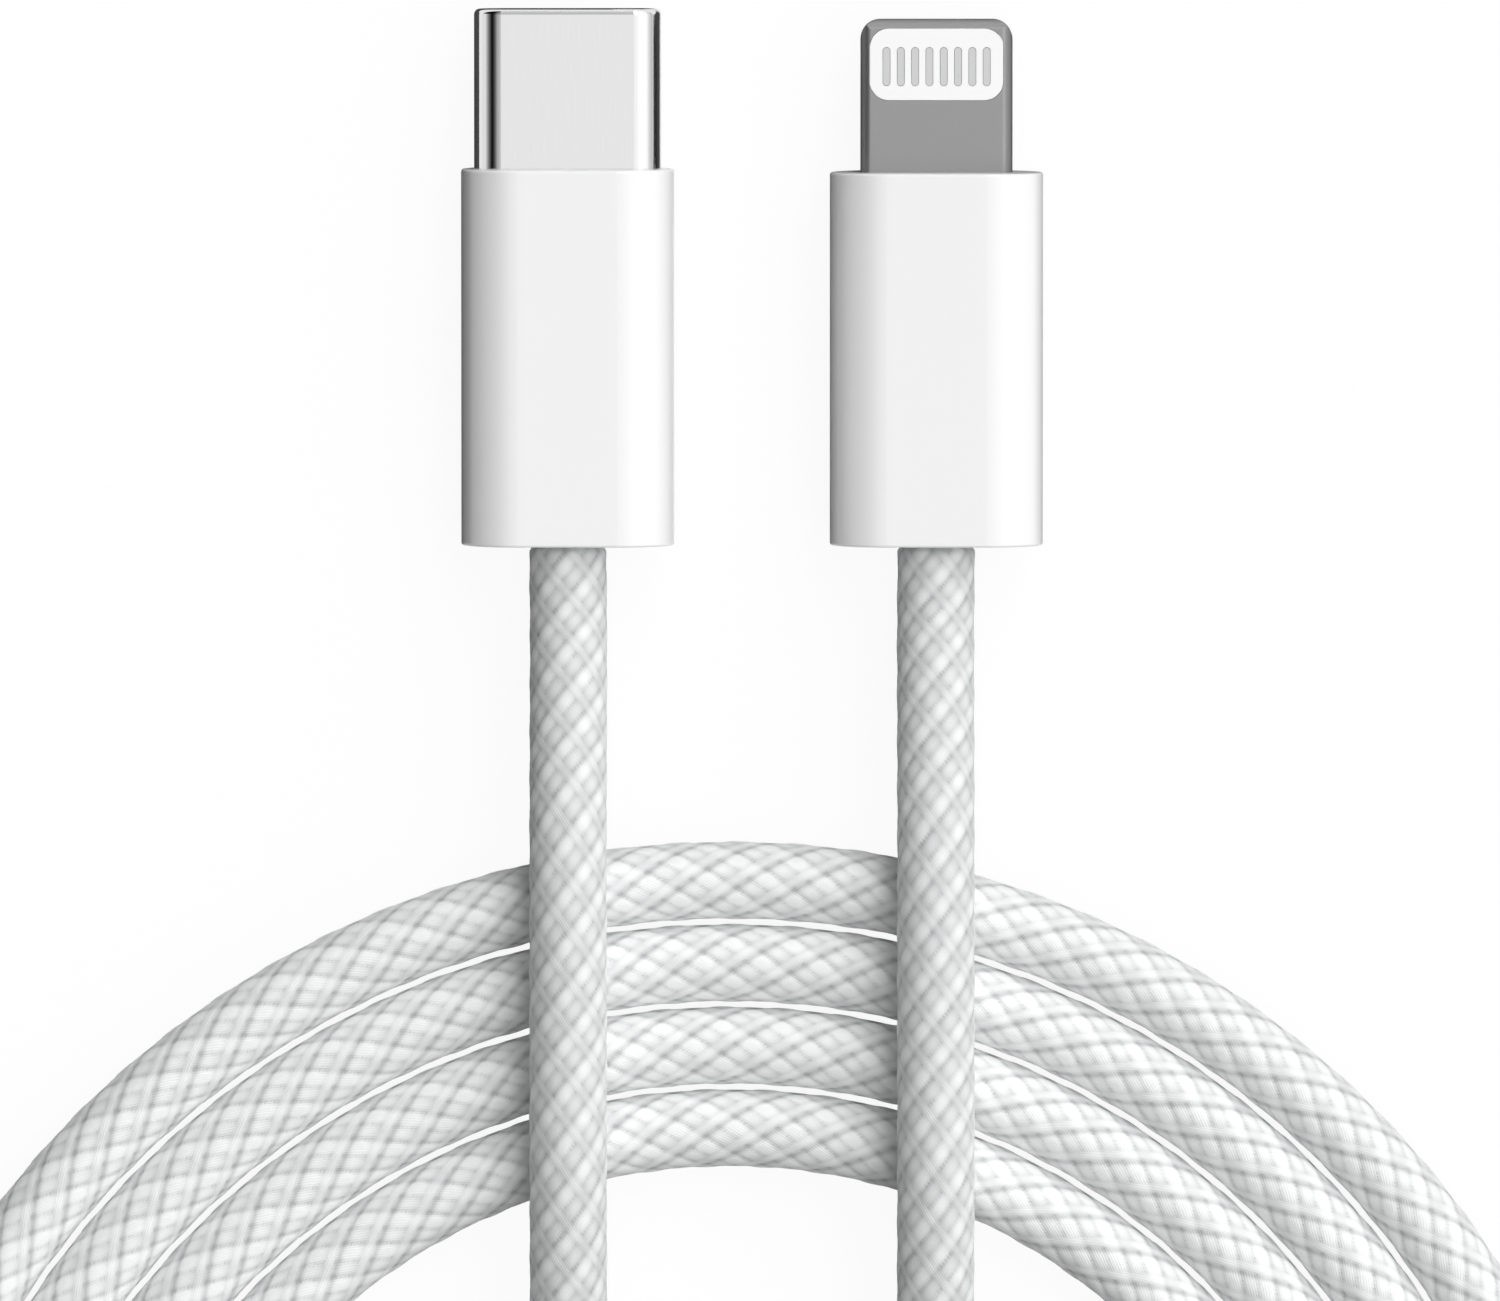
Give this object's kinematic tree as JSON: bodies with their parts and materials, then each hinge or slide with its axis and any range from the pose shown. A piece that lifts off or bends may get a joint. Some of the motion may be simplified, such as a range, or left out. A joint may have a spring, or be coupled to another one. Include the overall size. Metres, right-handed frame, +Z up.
{
  "type": "charging cable",
  "caption": "Coiled charging cable: a white woven cord joins a flat oval metal plug to a flat metal tab plug, each in a smooth white housing.",
  "frame": {"origin": "on the resting surface, midway between the two plugs and midway along them", "axes": "+Z up from the resting surface, +Y the way both plugs point, +X from the oval plug to the tab plug"},
  "size_m": [0.0802, 0.1126, 0.0071],
  "materials": {
    "housing_plastic": "moulded polycarbonate, satin",
    "cap_plastic": "moulded, matt",
    "mould_plastic": "cast polyethylene, waxy",
    "shell_steel": "drawn stainless steel, polished",
    "insulator_plastic": "moulded liquid crystal polymer",
    "gold_plating": "gold plated phosphor bronze",
    "spring_steel": "stamped, bright",
    "board_laminate": "glass fibre laminate with solder mask",
    "chip_resin": "moulded epoxy",
    "cover_steel": "tinned sheet",
    "cord_jacket": "extruded elastomer under the woven sleeve",
    "wire_insulation": "extruded",
    "frame_steel": "cast stainless steel, satin",
    "pad_plastic": "moulded, smooth",
    "bar_plating": "plated, bright",
    "woven_sleeve": "woven polyester sleeve"
  },
  "bodies": {
    "root": {"oval_plug_housing": "housing_plastic", "oval_plug_rear_cap": "cap_plastic", "oval_plug_inner_mould": "mould_plastic", "oval_plug_shell": "shell_steel", "oval_plug_front_insulator": "insulator_plastic", "oval_plug_rear_insulator": "insulator_plastic", "oval_plug_upper_contacts": "gold_plating", "oval_plug_lower_contacts": "gold_plating", "oval_plug_side_latch": "spring_steel", "oval_plug_upper_ground_spring": "spring_steel", "oval_plug_lower_ground_spring": "spring_steel", "oval_plug_circuit_board": "board_laminate", "oval_plug_board_parts": "chip_resin", "oval_plug_upper_cover": "cover_steel", "oval_plug_lower_cover": "cover_steel", "oval_plug_crimp_ring": "cover_steel", "oval_plug_cord_end": "cord_jacket", "oval_plug_wires": "wire_insulation", "tab_plug_housing": "housing_plastic", "tab_plug_rear_cap": "cap_plastic", "tab_plug_inner_mould": "mould_plastic", "tab_plug_frame": "frame_steel", "tab_plug_contact_pad": "pad_plastic", "tab_plug_upper_contacts": "bar_plating", "tab_plug_lower_contacts": "bar_plating", "tab_plug_circuit_board": "board_laminate", "tab_plug_board_parts": "chip_resin", "tab_plug_upper_cover": "cover_steel", "tab_plug_lower_cover": "cover_steel", "tab_plug_crimp_ring": "cover_steel", "tab_plug_cord_end": "cord_jacket", "tab_plug_wires": "wire_insulation", "cord_oval_lead": "woven_sleeve", "cord_coil": "woven_sleeve", "cord_tab_lead": "woven_sleeve"}
  },
  "joints": []
}
